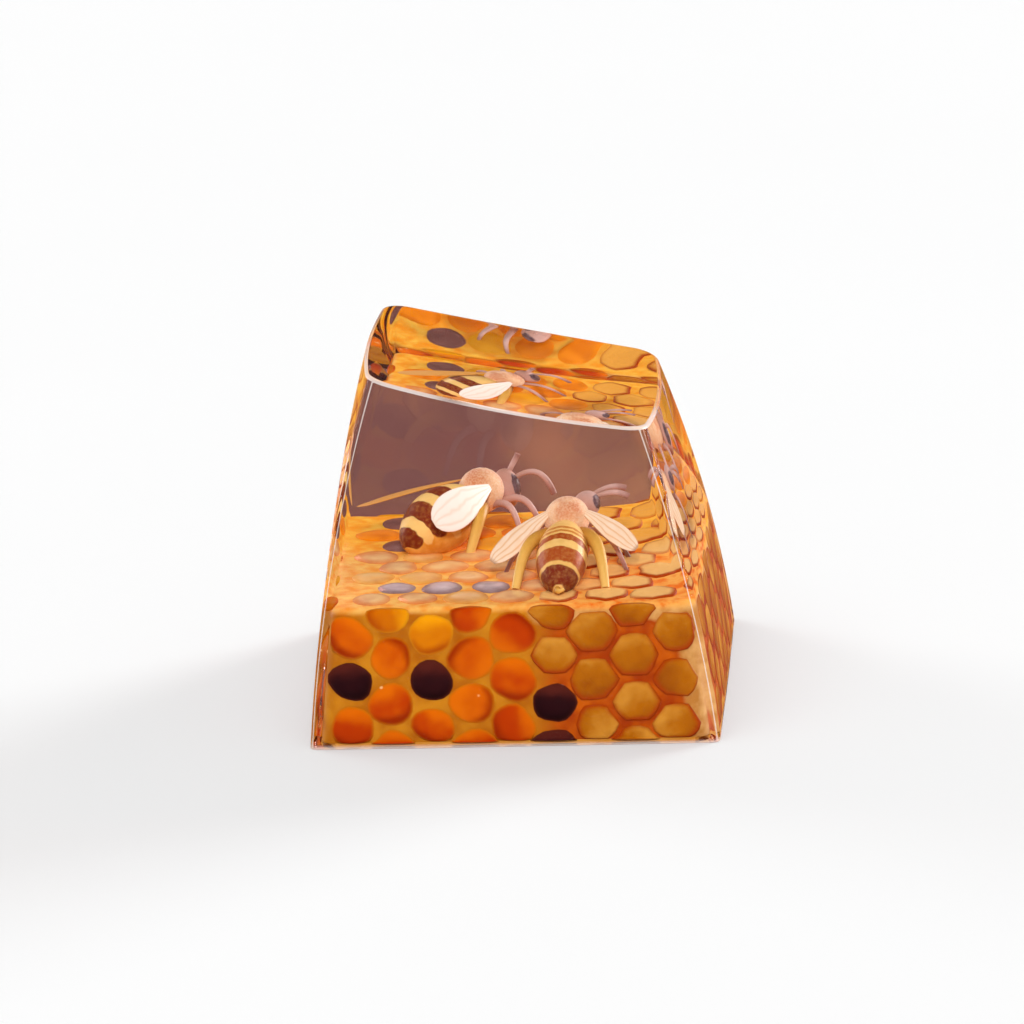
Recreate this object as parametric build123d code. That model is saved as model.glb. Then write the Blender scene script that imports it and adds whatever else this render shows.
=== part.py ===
from build123d import *

import os
from math import cos, radians, sin, sqrt, tan

# Artisan keycap: a tall sculpted key of clear resin, cast around a honeycomb insert with two bees.
# Millimetres. +X is the typist's right, +Y the back of the keyboard, +Z up.
# The origin is the centre of the footprint, on the plane of the bottom rim.

# Clear cap: square foot, swelling walls, smaller tilted top with a shallow dish
FOOT_SIZE = 18.4
FOOT_CORNER = 0.35
FOOT_CROWN = 0.04
TOP_SIZE = 13.3
TOP_CORNER = 1.3
TOP_CROWN = 0.45
TOP_HEIGHT = 15.0
TOP_TILT = 12.0
WALL_SWELL = 0.4
DISH_RADIUS = 90.0
RIM_BREAK = 0.15

# Honeycomb insert: a drafted block under a clear skin
SKIN = 0.5
COMB_HEIGHT = 6.2
COMB_DRAFT = 6.0
COMB_CORNER = 0.08
COMB_EDGE = 0.35
COMB_WALL = 0.75
COMB_ROOF = 1.0

# Cells of the comb: hexagons in columns, flush with the face of the block
CELL_COLUMNS = 9
CELL_WALL = 0.34
CELL_DEPTH = 0.42
CELL_MARGIN = 0.2
CELL_CUT = 0.22

# Stem base: the pour that closes the casting, hollow to clear the switch, with the post that grips it
BASE_WALL = 0.55
BASE_ROOF = 0.6
FLANGE = 0.15
POST_RADIUS = 2.75
POST_RECESS = 0.4
CROSS_LENGTH = 4.1
CROSS_WIDTH_X = 1.35
CROSS_WIDTH_Y = 1.15
CROSS_DEPTH = 3.8

# Bees: sizes shared by both; the points of a bee further down are in thorax radii
THORAX_RADIUS = 1.0
HEAD_RADIUS = 0.66
LEG_RADIUS = 0.14
HIND_LEG_RADIUS = 0.28
ANTENNA_RADIUS = 0.12
WING_THICKNESS = 0.14

draft = radians(COMB_DRAFT)
comb_foot = FOOT_SIZE / 2 - SKIN
comb_top = comb_foot - COMB_HEIGHT * tan(draft)


# Clear cap

def crowned_square(half, crown, corner):
    """A square, half wide at mid-side, with slightly convex sides and corners turned in two flats."""
    side = (half**2 + crown**2) / (2 * crown)
    lift = side - half
    centre = (sqrt(2 * (side - corner) ** 2 - lift**2) - lift) / 2
    near = side * centre / (side - corner)
    far = side * (centre + lift) / (side - corner) - lift
    tip = centre + corner / sqrt(2)
    quarter = [
        ThreePointArc((-near, far), (0, half), (near, far)),
        Line((near, far), (tip, tip)),
        Line((tip, tip), (far, near)),
    ]
    return make_face([Rot(0, 0, -90 * turn) * edge for turn in range(4) for edge in quarter])


def cap_section(height):
    """The outline of the cap at a height, on a plane that tilts more towards the top."""
    t = height / TOP_HEIGHT
    half = FOOT_SIZE / 2 + (TOP_SIZE - FOOT_SIZE) / 2 * t + 4 * WALL_SWELL * t * (1 - t)
    crown = FOOT_CROWN + (TOP_CROWN - FOOT_CROWN) * t
    corner = FOOT_CORNER + (TOP_CORNER - FOOT_CORNER) * t**2
    plane = Plane((0, 0, height)).rotated((TOP_TILT * t, 0, 0))
    return plane * crowned_square(half, crown, corner)


def dish_tool(depth):
    """What the dish takes away: all above a shallow paraboloid, a patch of three control points each way."""
    top = Plane((0, 0, TOP_HEIGHT)).rotated((TOP_TILT, 0, 0))
    rise = TOP_SIZE**2 / (2 * DISH_RADIUS)
    steps = ((-TOP_SIZE, rise), (0, -rise), (TOP_SIZE, rise))
    patch = Face.make_bezier_surface([[(x, y, up + more - depth) for y, more in steps] for x, up in steps])
    return extrude(top * patch, TOP_SIZE / 2, dir=top.z_dir)


def cap_form():
    """The outside of the cap: lofted walls, cut off by the dish, with a softened rim."""
    reach = TOP_SIZE / sqrt(2) - TOP_CORNER
    depth = reach**2 / (2 * DISH_RADIUS)
    walls = loft([cap_section(height) for height in (0, TOP_HEIGHT / 2, TOP_HEIGHT + depth)])
    form = walls - dish_tool(depth)
    return chamfer(form.faces().sort_by(Axis.Z)[-1].edges(), RIM_BREAK)


# Honeycomb insert

def drafted_block(half, height, corner=0):
    """A square block standing on the rim plane, its sides leaning in by the draft, its corners cut off."""
    foot = Rectangle(2 * half, 2 * half)
    if corner:
        foot = chamfer(foot.vertices(), corner)
    return extrude(foot, height, taper=COMB_DRAFT)


comb_shrink = COMB_HEIGHT * tan(draft) + COMB_EDGE
insert = drafted_block(comb_foot, COMB_HEIGHT, COMB_CORNER + (2 - sqrt(2)) * comb_shrink)
insert = chamfer(insert.faces().sort_by(Axis.Z)[-1].edges(), COMB_EDGE)
flange = insert & Pos(0, 0, FLANGE / 2) * Box(FOOT_SIZE, FOOT_SIZE, FLANGE)
core_half = comb_foot - COMB_WALL
core_height = COMB_HEIGHT - COMB_ROOF
core = drafted_block(core_half, core_height)
comb_blank = insert - flange - core

wide_limit = comb_foot - 2 * CELL_MARGIN
inner_limit = comb_top - CELL_DEPTH - CELL_MARGIN
cell_pitch = (2 * wide_limit + 2 * CELL_WALL / sqrt(3)) / ((CELL_COLUMNS - 1) * sqrt(3) / 2 + 2 / sqrt(3))
cell_half = (cell_pitch - CELL_WALL) / 2
cell_radius = 2 * cell_half / sqrt(3)
column_step = cell_pitch * sqrt(3) / 2

# What fills the cells: h honey, p pollen, d dark, c capped with wax. A word is a column, from the foot up
# on the sides and from the front back on the top; columns run to the right as the face is looked at.
FRONT_PLAN = ("ccc",)
RIGHT_PLAN = ("ccc", "ccc", "ccc", "hdch", "hhh", "hhph", "hdh", "phhp", "hdh")
BACK_PLAN = ("dhh", "hhph", "hdh", "phhh", "hhh", "hhdp", "hph", "hhhh")
LEFT_PLAN = ("hdh", "hhhp", "hdp", "hhhh", "hhh", "ddcc", "ccc", "ccc", "ccc")
TOP_PLAN = ("ccchphh", "cchddd", "ccchhpp", "cchhhh", "ccchhph", "cchphd", "ccchhhh", "cchhpd")


def cell(plane, x, y):
    """One hexagonal cell as a prism, from its floor in the block to just outside the face."""
    hexagon = plane * Pos(x, y, -CELL_DEPTH) * RegularPolygon(cell_radius, 6)
    return extrude(hexagon, 2 * CELL_DEPTH, dir=plane.z_dir)


def side_cells(cells):
    """Columns of cells on the drafted sides, cut off at foot and top, every other one half a cell lower."""
    front = Plane((0, -comb_foot, 0), x_dir=(1, 0, 0), z_dir=(0, -cos(draft), sin(draft)))
    for turn, plan in enumerate((FRONT_PLAN, RIGHT_PLAN, BACK_PLAN, LEFT_PLAN)):
        face = Plane(Rot(0, 0, 90 * turn) * front.location)
        columns = CELL_COLUMNS - 1 + turn % 2
        for column in range(columns):
            x = (column - (columns - 1) / 2) * column_step
            y = FLANGE + cell_half - CELL_CUT - column % 2 * cell_pitch / 2
            word = plan[column % len(plan)]
            row = 0
            while y < COMB_HEIGHT - CELL_MARGIN / 2:
                cells[word[row % len(word)]].append(cell(face, x, y))
                y += cell_pitch
                row += 1


def top_cells(cells):
    """Columns of cells on the top of the block, every other column half a cell further back."""
    face = Plane((0, 0, COMB_HEIGHT))
    rows = int((inner_limit - cell_half) / cell_pitch)
    columns = CELL_COLUMNS - 1
    for column in range(columns):
        x = (column - (columns - 1) / 2) * column_step
        word = TOP_PLAN[column % len(TOP_PLAN)]
        for row in range(2 * rows + 1 - column % 2):
            y = (row - rows + column % 2 / 2) * cell_pitch
            cells[word[row % len(word)]].append(cell(face, x, y))


cells = {"h": [], "p": [], "d": [], "c": []}
side_cells(cells)
top_cells(cells)
comb = comb_blank - [prism for group in cells.values() for prism in group]
fills = {letter: [comb_blank & prism for prism in group] for letter, group in cells.items()}


# Stem base

ceiling = core_height - BASE_ROOF
hollow = drafted_block(core_half - BASE_WALL, ceiling)
post = Pos(0, 0, POST_RECESS) * extrude(Circle(POST_RADIUS), ceiling - POST_RECESS)
slots = Rectangle(CROSS_LENGTH, CROSS_WIDTH_Y) + Rectangle(CROSS_WIDTH_X, CROSS_LENGTH)
socket = Pos(0, 0, POST_RECESS) * extrude(slots, CROSS_DEPTH)
stem_base = flange + core - hollow + post - socket


# Bees

# Half profile of an abdomen from waist to tail, ring by ring: place along its length and share of its radius
ABDOMEN_RINGS = ((0.0, 0.42), (0.12, 0.84), (0.34, 1.0), (0.56, 0.94), (0.76, 0.7), (0.91, 0.36), (1.0, 0.08))
BALL_RINGS = 5
BODY_SIDES = 8


def turned(rings):
    """A body about the X axis through rings of place and radius, with flat facets from ring to ring."""
    angles = [radians(360 * step / BODY_SIDES) for step in range(BODY_SIDES)]
    loops = [[(place, radius * cos(a), radius * sin(a)) for a in angles] for place, radius in rings]
    facets = [loops[0], loops[-1]]
    for loop, ahead in zip(loops, loops[1:]):
        for i in range(BODY_SIDES):
            facets.append([loop[i - 1], loop[i], ahead[i], ahead[i - 1]])
    return Solid(Shell([make_face(Polyline(*facet, close=True)) for facet in facets]))


def abdomen(length, radius):
    """A ringed egg, blunt at the waist at the origin and pointed at the tail behind it."""
    return turned([(-length * place, radius * share) for place, share in ABDOMEN_RINGS])


def ball(radius):
    """A ball of evenly spaced rings."""
    steps = [radians(180 * (ring + 0.5) / BALL_RINGS) for ring in range(BALL_RINGS)]
    return turned([(-radius * cos(step), radius * sin(step)) for step in steps])


def limb(points, radius):
    """A jointed limb: one slim square prism for each pair of points, running a little past its joint."""
    prisms = []
    for start, end in zip(points, points[1:]):
        run = Vector(*end) - Vector(*start)
        section = Plane(start, z_dir=run) * Rectangle(2 * radius, 2 * radius)
        prisms.append(extrude(section, run.length + radius / 2, dir=run.normalized()))
    return prisms


def spot(x, y, z):
    """A point of a bee in millimetres, from thorax radii."""
    return (x * THORAX_RADIUS, y * THORAX_RADIUS, z * THORAX_RADIUS)


def leg_pair(hip, knee, foot, radius, ground):
    """The left and right leg of a pair: hip under the thorax, raised knee, foot on the comb."""
    legs = []
    for side in (1, -1):
        joints = [spot(x, side * y, z) for x, y, z in (hip, knee)]
        toe = spot(foot[0], side * foot[1], -ground)
        legs += limb([*joints, (toe[0], toe[1], toe[2] - radius)], radius)
    return legs


def wing(root, tip, facing, width):
    """A plate from root to tip, straight in front, round behind, its flat side towards the facing direction."""
    run = Vector(*spot(*tip)) - Vector(*spot(*root))
    along = run.normalized()
    normal = Vector(*facing) - along * Vector(*facing).dot(along)
    plane = Plane(spot(*root), x_dir=run, z_dir=normal)
    length = run.length
    breadth = width * THORAX_RADIUS
    stub = (0, breadth / 8)
    lead = (0.88 * length, 0.3 * breadth)
    trail = (0.84 * length, -breadth / 2)
    heel = (0, -breadth / 8)
    outline = [
        Line(stub, lead),
        ThreePointArc(lead, (length, -breadth / 8), trail),
        ThreePointArc(trail, (0.4 * length, -0.62 * breadth), heel),
        Line(heel, stub),
    ]
    return extrude(plane * make_face(outline), WING_THICKNESS / 2, both=True)


def bee(place, ground, head, waist, droop, tail, legs, feelers, wings):
    """A bee that stands on the comb: body with legs and feelers, and its wings, both clear of the comb."""
    x, y, turn = place
    stand = Pos(x * comb_top, y * comb_top, COMB_HEIGHT + ground * THORAX_RADIUS) * Rot(0, 0, turn)
    tail_length, tail_radius = (THORAX_RADIUS * share for share in tail)
    parts = [Pos(*spot(*waist)) * Rot(0, -droop, 0) * abdomen(tail_length, tail_radius)]
    parts.append(Pos(*spot(*head)) * ball(HEAD_RADIUS))
    for hip, knee, foot, radius in legs:
        parts += leg_pair(hip, knee, foot, radius, ground)
    for feeler in feelers:
        parts += limb([spot(*point) for point in feeler], ANTENNA_RADIUS)
    body = stand * (ball(THORAX_RADIUS) + parts) - insert
    plates = [stand * wing(*plate) - body for plate in wings]
    return body, plates


# Place: shares of the half width of the comb's top, then the turn about the upright
resting_bee, resting_wings = bee(
    place=(0.547, 0.224, -42),
    ground=1.95,
    head=(1.55, 0, -0.25),
    waist=(-0.7, 0, -0.2),
    droop=17,
    tail=(4.3, 1.4),
    legs=[
        ((0.6, 0.5, -0.6), (1.2, 1.5, -0.3), (1.7, 2.1), LEG_RADIUS),
        ((0.0, 0.5, -0.6), (0.1, 1.8, -0.3), (0.0, 2.5), LEG_RADIUS),
        ((-0.5, 0.5, -0.6), (-1.6, 1.7, -0.4), (-2.7, 1.9), HIND_LEG_RADIUS),
    ],
    feelers=[
        [(1.6, 0.1, 0.2), (2.0, -0.25, 1.15)],
        [(1.75, -0.15, 0.1), (2.4, -0.75, 0.4), (3.0, -1.4, -0.6)],
    ],
    wings=[
        ((-0.3, -0.9, 0.4), (-4.6, -1.6, -0.2), (0, -0.85, 0.5), 2.4),
        ((-0.3, 0.6, 0.5), (-5.0, 2.6, -0.1), (0, 0.2, 1), 1.6),
    ],
)

standing_bee, standing_wings = bee(
    place=(-0.2, -0.28, -2.5),
    ground=2.2,
    head=(1.15, -0.75, 0.3),
    waist=(-0.7, 0, -0.3),
    droop=22,
    tail=(4.4, 1.15),
    legs=[
        ((0.6, 0.5, -0.6), (1.3, 1.4, -0.5), (1.2, 2.6), LEG_RADIUS),
        ((0.0, 0.5, -0.6), (-0.2, 1.8, -0.6), (-0.9, 2.7), LEG_RADIUS),
        ((-0.5, 0.5, -0.6), (-2.0, 1.6, -0.4), (-3.6, 2.0), HIND_LEG_RADIUS),
    ],
    feelers=[
        [(1.4, -1.0, 0.5), (1.7, -1.9, 0.7), (1.7, -2.5, 0.4)],
        [(1.4, -0.8, 0.5), (2.1, -1.6, 0.85), (2.3, -2.3, 0.6)],
    ],
    wings=[
        ((-0.2, 0.6, 0.5), (-2.3, 3.15, -1.3), (-0.55, 0, 0.83), 1.7),
        ((-0.2, -0.6, 0.5), (-1.3, -3.2, -1.1), (-0.55, 0, 0.83), 1.6),
    ],
)

clear_cap = cap_form() - insert - resting_bee - standing_bee - resting_wings - standing_wings

pieces = {
    "clear_cap": clear_cap,
    "comb": comb,
    "honey_cells": Compound(children=fills["h"]),
    "pollen_cells": Compound(children=fills["p"]),
    "dark_cells": Compound(children=fills["d"]),
    "capped_cells": Compound(children=fills["c"]),
    "stem_base": stem_base,
    "resting_bee": resting_bee,
    "resting_bee_wings": Compound(children=resting_wings),
    "standing_bee": standing_bee,
    "standing_bee_wings": Compound(children=standing_wings),
}

os.makedirs("parts", exist_ok=True)
for name, piece in pieces.items():
    export_step(piece, f"parts/{name}.step")
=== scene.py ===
import bpy
import numpy as np
from mathutils import Matrix, Vector


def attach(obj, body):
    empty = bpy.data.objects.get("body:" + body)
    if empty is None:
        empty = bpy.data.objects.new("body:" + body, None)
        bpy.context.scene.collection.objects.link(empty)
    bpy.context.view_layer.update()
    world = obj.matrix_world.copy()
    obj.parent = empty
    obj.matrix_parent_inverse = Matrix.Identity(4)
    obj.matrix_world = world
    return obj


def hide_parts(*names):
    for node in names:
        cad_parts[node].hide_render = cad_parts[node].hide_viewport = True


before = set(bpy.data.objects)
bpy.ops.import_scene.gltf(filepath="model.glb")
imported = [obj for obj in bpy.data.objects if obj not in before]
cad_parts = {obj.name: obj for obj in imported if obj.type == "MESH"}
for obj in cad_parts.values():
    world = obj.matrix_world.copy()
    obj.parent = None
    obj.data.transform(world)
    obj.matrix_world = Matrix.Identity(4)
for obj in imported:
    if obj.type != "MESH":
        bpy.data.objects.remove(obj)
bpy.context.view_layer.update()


# Clear cap: the key itself, one block of clear resin with a faint amber tone, cast in a polished mould.
# It has a square foot, slightly bulging walls and a smaller top, tilted to the front and gently dished.
# Comb and bees are cast into it, so the resin touches them everywhere and is hollow only under the comb.

MM = 0.001
FOOT_HALF, FOOT_CROWN, FOOT_CORNER = 9.2, 0.04, 0.35
TOP_HALF, TOP_CROWN, TOP_CORNER = 6.65, 0.45, 1.3
TOP_HEIGHT, TOP_TILT, WALL_SWELL = 15.0, np.radians(12.0), 0.4
DISH_RADIUS, DISH_DEPTH, RIM_ROUND = 90.0, 0.365, 0.17
HOLLOW_HALF, HOLLOW_HEIGHT = np.array((7.52, 8.08, 8.68)), np.array((5.5, 0.3, 0.0))
LINE_HALF, FOOT_BRIGHT = 0.1, 0.9
SIDE_STEPS, CORNER_STEPS = 22, 14
WALL_RINGS, RIM_RINGS, DISH_RINGS = 40, 8, 18
RIM_LOW, HALVINGS = 0.8, 40


def rounded_square(half, crown, corner):
    """Squares, one row for each half width: four shallow arcs that stand out by the crown at mid-side,
    joined by corner arcs that touch them, counter-clockwise from the middle of the right side."""
    half, crown, corner = (np.atleast_1d(v).astype(float)[:, None] for v in (half, crown, corner))
    side = (half**2 + crown**2) / (2 * crown)
    lift = side - half
    centre = (np.sqrt(2 * (side - corner) ** 2 - lift**2) - lift) / 2
    turn = np.arcsin(centre / (side - corner))
    along = np.linspace(-1, 1, SIDE_STEPS, endpoint=False) * turn
    round_it = turn + (np.pi / 2 - 2 * turn) * np.linspace(0, 1, CORNER_STEPS, endpoint=False)
    x = np.hstack([side * np.cos(along) - lift, centre + corner * np.cos(round_it)])
    y = np.hstack([side * np.sin(along), centre + corner * np.sin(round_it)])
    return np.hstack([x, -y, -x, y]), np.hstack([y, x, -y, -x])


def shell(rings, first, last):
    """Closed skin over rings of points that run counter-clockwise about the way from ring to ring: quads
    between neighbouring rings and a fan to a single point at each end.
    Gives the points, and the faces in blocks, each an array of point numbers."""
    rows, columns = rings.shape[:2]
    at = np.arange(rows * columns).reshape(rows, columns)
    ahead = np.roll(at, -1, axis=1)
    blocks = [np.stack([at[:-1], ahead[:-1], ahead[1:], at[1:]], axis=-1).reshape(-1, 4)]
    for tip, near, after in ((at.size, ahead[0], at[0]), (at.size + 1, at[-1], ahead[-1])):
        blocks.append(np.stack([np.full(columns, tip), near, after], axis=-1))
    return np.vstack([rings.reshape(-1, 3), np.reshape(first, (1, 3)), np.reshape(last, (1, 3))]), blocks


def make_piece(name, skin, material, crease=50, **values):
    """An object from points in millimetres and blocks of faces, smooth up to the crease angle, with a value
    per point for each name given, riding on the key."""
    points, blocks = skin
    mesh = bpy.data.meshes.new(name)
    mesh.from_pydata((points * MM).tolist(), [], [face for block in blocks for face in block.tolist()])
    for label, value in values.items():
        layer = mesh.attributes.new(label, "FLOAT", "POINT")
        layer.data.foreach_set("value", np.asarray(value, np.float32).ravel())
    mesh.shade_smooth()
    mesh.set_sharp_from_angle(angle=np.radians(crease))
    mesh.materials.append(material)
    made = bpy.data.objects.new(name, mesh)
    bpy.context.scene.collection.objects.link(made)
    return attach(made, "root")


def cap_wall(v):
    """Points of the wall at each share v of the way up: a parabola through three tilted squares, at the
    foot, at half height and just above the top, taken point by point round the square."""
    height = np.array([0, TOP_HEIGHT / 2, TOP_HEIGHT + DISH_DEPTH])
    t = height / TOP_HEIGHT
    half = FOOT_HALF + (TOP_HALF - FOOT_HALF) * t + 4 * WALL_SWELL * t * (1 - t)
    x, y = rounded_square(half, FOOT_CROWN + (TOP_CROWN - FOOT_CROWN) * t,
                          FOOT_CORNER + (TOP_CORNER - FOOT_CORNER) * t**2)
    tilt = (TOP_TILT * t)[:, None]
    knots = np.stack([x, y * np.cos(tilt), height[:, None] + y * np.sin(tilt)], axis=-1)
    v, mid = np.asarray(v)[..., None], height[1] / height[2]
    low = (v - mid) * (v - 1) / mid
    middle = v * (v - 1) / (mid * (mid - 1))
    high = v * (v - mid) / (1 - mid)
    return low * knots[0] + middle * knots[1] + high * knots[2]


def to_top(points):
    """Points as seen from the tilted top plane: across, back and up."""
    y, z = points[..., 1], points[..., 2] - TOP_HEIGHT
    back = y * np.cos(TOP_TILT) + z * np.sin(TOP_TILT)
    up = z * np.cos(TOP_TILT) - y * np.sin(TOP_TILT)
    return np.stack([points[..., 0], back, up], axis=-1)


def dish_point(across, back):
    """Points of the dish: a shallow paraboloid under the tilted top plane, placed in the key."""
    up = (across**2 + back**2) / (2 * DISH_RADIUS) - DISH_DEPTH
    y = back * np.cos(TOP_TILT) - up * np.sin(TOP_TILT)
    z = TOP_HEIGHT + back * np.sin(TOP_TILT) + up * np.cos(TOP_TILT)
    return np.stack([across, y, z], axis=-1)


def cap_skin():
    """The skin of the resin: down the wall of the hidden hollow, out along the foot, up the walls to where
    they meet the dish, found by halving, over a rounded rim, a parabola from wall to dish, and in to the
    middle.
    Gives the skin, and per point how near it is to the rim, the foot or the ridge of an upright corner."""
    columns = 4 * (SIDE_STEPS + CORNER_STEPS)
    below, above = np.full(columns, RIM_LOW), np.ones(columns)
    for _ in range(HALVINGS):
        rim = (below + above) / 2
        across, back, up = np.moveaxis(to_top(cap_wall(rim)), -1, 0)
        over = up > (across**2 + back**2) / (2 * DISH_RADIUS) - DISH_DEPTH
        below, above = np.where(over, below, rim), np.where(over, rim, above)
    edge = cap_wall(rim)
    share = np.linspace(0, 1, WALL_RINGS)[:, None] * (rim - RIM_ROUND / TOP_HEIGHT)
    walls = np.stack([cap_wall(row) for row in share])
    inward = 1 - RIM_ROUND / np.hypot(across, back)
    start = dish_point(across * inward, back * inward)
    t = np.linspace(0, 1, RIM_RINGS)[1:-1, None, None]
    rounding = (1 - t) ** 2 * walls[-1] + 2 * t * (1 - t) * edge + t**2 * start
    shrink = np.linspace(1, 0, DISH_RINGS, endpoint=False)[:, None] * inward
    dish = dish_point(across * shrink, back * shrink)
    x, y = rounded_square(HOLLOW_HALF, FOOT_CROWN, FOOT_CORNER)
    inner = np.stack([x, y, np.broadcast_to(HOLLOW_HEIGHT[:, None], x.shape)], axis=-1)
    rings = np.concatenate([inner, walls, rounding, dish])
    foot, top = len(inner), len(inner) + WALL_RINGS
    step = np.abs(np.arange(CORNER_STEPS) - CORNER_STEPS // 2) * np.pi / 2 / CORNER_STEPS
    corner = FOOT_CORNER + (TOP_CORNER - FOOT_CORNER) * np.linspace(0, 1, WALL_RINGS)[:, None] ** 2
    line = np.hstack([np.zeros((WALL_RINGS, SIDE_STEPS)), np.clip(1 - step * corner / LINE_HALF, 0, 1)])
    # bright: where the pale softened line with its painted highlight runs: all of the rim, the foot, and the
    # ridges of the upright corners.
    bright = np.zeros(rings.shape[:2])
    bright[top:-DISH_RINGS] = 1
    bright[foot:top] = np.tile(line, 4)
    bright[foot] = FOOT_BRIGHT
    skin = shell(rings, (0, 0, HOLLOW_HEIGHT[0]), dish_point(np.zeros(1), np.zeros(1)))
    return skin, np.append(bright.ravel(), [0, 0])


class Field:
    """A value that changes over a surface: a socket of a material's nodes that takes part in Python sums."""

    def __init__(self, tree, socket=None):
        self.tree, self.socket = tree, socket

    def add(self, kind, settings=None, inputs=None, out=0):
        """Adds a node: its type, its settings, which are set first, and what its sockets hold or link to."""
        node = self.tree.nodes.new("ShaderNode" + kind)
        for name, value in (settings or {}).items():
            if name == "stops":
                while len(node.color_ramp.elements) < len(value):
                    node.color_ramp.elements.new(1)
                for stop, (place, colour) in zip(node.color_ramp.elements, value):
                    stop.position, stop.color = place, colour
            else:
                setattr(node, name, value)
        for name, value in (inputs or {}).items():
            if isinstance(value, Field):
                self.tree.links.new(value.socket, node.inputs[name])
            else:
                node.inputs[name].default_value = value
        return Field(self.tree, node.outputs[out] if node.outputs else None)

    def math(self, operation, first, second):
        """The result of one operation on two values."""
        return self.add("Math", {"operation": operation}, {0: first, 1: second})

    def __add__(self, other):
        return self.math("ADD", self, other)

    def __sub__(self, other):
        return self.math("SUBTRACT", self, other)

    def __rsub__(self, other):
        return self.math("SUBTRACT", other, self)

    def __mul__(self, other):
        return self.math("MULTIPLY", self, other)

    __radd__, __rmul__ = __add__, __mul__

    def most(self, other):
        """The larger of two values."""
        return self.math("MAXIMUM", self, other)

    def step(self, low, high):
        """0 below low, 1 above high and a smooth rise between them."""
        inputs = {"Value": self, "From Min": low, "From Max": high}
        return self.add("MapRange", {"interpolation_type": "SMOOTHSTEP"}, inputs)

    def blend(self, first, second):
        """A colour from first to second as this value goes from 0 to 1."""
        return self.add("Mix", {"data_type": "RGBA"}, {0: self, 6: first, 7: second}, 2)

    def mix(self, first, second):
        """A shader from first to second as this value goes from 0 to 1."""
        return self.add("MixShader", {}, {0: self, 1: first, 2: second})

    def ramp(self, *stops):
        """A colour by stops, each a value and the colour there."""
        return self.add("ValToRGB", {"stops": stops}, {"Fac": self})

    def place(self):
        """The place of a point in the key."""
        return self.add("TexCoord", out="Object")

    def along(self, axis):
        """The place along one axis of the key, in millimetres."""
        return self.add("SeparateXYZ", {}, {"Vector": self.place()}, axis) * (1 / MM)

    def value(self, name):
        """The value that the mesh has per point under that name, 0 where it has none."""
        return self.add("Attribute", {"attribute_name": name}, out="Fac")

    def ray(self, kind):
        """1 for a ray of that kind and 0 for any other."""
        return self.add("LightPath", out=f"Is {kind} Ray")

    def noise(self, size, detail):
        """Soft noise with lumps of about that size in millimetres."""
        return self.add("TexNoise", {}, {"Vector": self.place(), "Scale": 1 / (size * MM), "Detail": detail})

    def bump(self, height, depth):
        """A normal for a height field whose full range is that deep in millimetres."""
        return self.add("Bump", {}, {"Height": height, "Distance": depth * MM, "Strength": 1.0})

    def surface(self, **sockets):
        """A shader with these sockets, their names written with underscores."""
        return self.add("BsdfPrincipled", {}, {k.replace("_", " "): v for k, v in sockets.items()})

    def end(self, shader):
        """Makes the shader the material's surface."""
        self.add("OutputMaterial", {}, {"Surface": shader})


def srgb(red, green, blue):
    """A colour as a screen shows it, 0 to 255, as the light it stands for."""
    c = np.array([red, green, blue]) / 255
    return (*np.where(c <= 0.04045, c / 12.92, ((c + 0.055) / 1.055) ** 2.4).tolist(), 1.0)


def new_material(name):
    """An empty material, and a field to start its nodes from."""
    material = bpy.data.materials.new(name)
    material.use_nodes = True
    material.node_tree.nodes.clear()
    return material, Field(material.node_tree)


RESIN_IOR, GLOSS_LEFT_OUT = 1.5, 0.96
RESIN_TINT, ENTRY_TINT = (0.93, 0.86, 0.80, 1), (0.96, 0.93, 0.90, 1)
WINDOW_SHADE_BACK, WINDOW_SHADE_FRONT = (0.080, 0.016, 0.014, 1), (0.32, 0.065, 0.026, 1)
HIGHLIGHT_WARM, HIGHLIGHT_PALE = (1.0, 0.86, 0.78, 1), (1.0, 0.95, 0.92, 1)
LIGHT_IN, LIGHT_THROUGH = (1, 1, 1, 1), (0.25, 0.10, 0.08, 1)


def clear_resin():
    """Clear resin with a painted shade, dark brown, where one looks right through it, darker at the back,
    with the last trace of polishing on its surface and a pale line where rim and corners are softened, which
    carries a painted highlight, brighter on the left. Seen from outside its gloss is soft. Lamps and
    scattered light reach what is cast in it unchanged, and what crosses the whole block comes out brown."""
    material, f = new_material("clear_resin")
    inside = f.add("NewGeometry", out="Backfacing")
    # Painted shade: light leaving the block through its back faces is tinted dark brown, darkest at the
    # back, which darkens all that is seen through it.
    window_shade = (f.noise(7.0, 1.0) - f.along("Y") * 0.025).step(0.3, 0.7).blend(WINDOW_SHADE_BACK, WINDOW_SHADE_FRONT)
    polish = f.noise(1.6, 3.0)
    glass = f.surface(Base_Color=inside.blend(RESIN_TINT, window_shade), Roughness=polish * 0.012,
                      Transmission_Weight=1.0, IOR=RESIN_IOR, Normal=f.bump(polish, 0.004))
    plain = f.add("BsdfRefraction", {}, {"Color": ENTRY_TINT, "Roughness": 0.005, "IOR": RESIN_IOR})
    glass = ((1 - inside) * GLOSS_LEFT_OUT).mix(glass, plain)
    # The softened line is pale sanded resin with a painted highlight over it, stronger towards the left.
    eased_edge_highlight = f.surface(Base_Color=polish.blend(HIGHLIGHT_WARM, HIGHLIGHT_PALE), Roughness=0.25)
    highlight_catch = (f.noise(3.5, 1.0) - f.along("X") * 0.03).step(0.35, 0.7) * 0.45 + 0.12
    glass = (f.value("bright").step(0.4, 1.0) * (1 - inside) * highlight_catch).mix(glass, eased_edge_highlight)
    lit = f.ray("Shadow").most(f.ray("Diffuse"))
    glass = (lit * inside).mix(glass, f.add("BsdfTransparent", {}, {"Color": LIGHT_IN}))
    f.end((lit * (1 - inside)).mix(glass, f.add("BsdfTransparent", {}, {"Color": LIGHT_THROUGH})))
    return material


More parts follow.
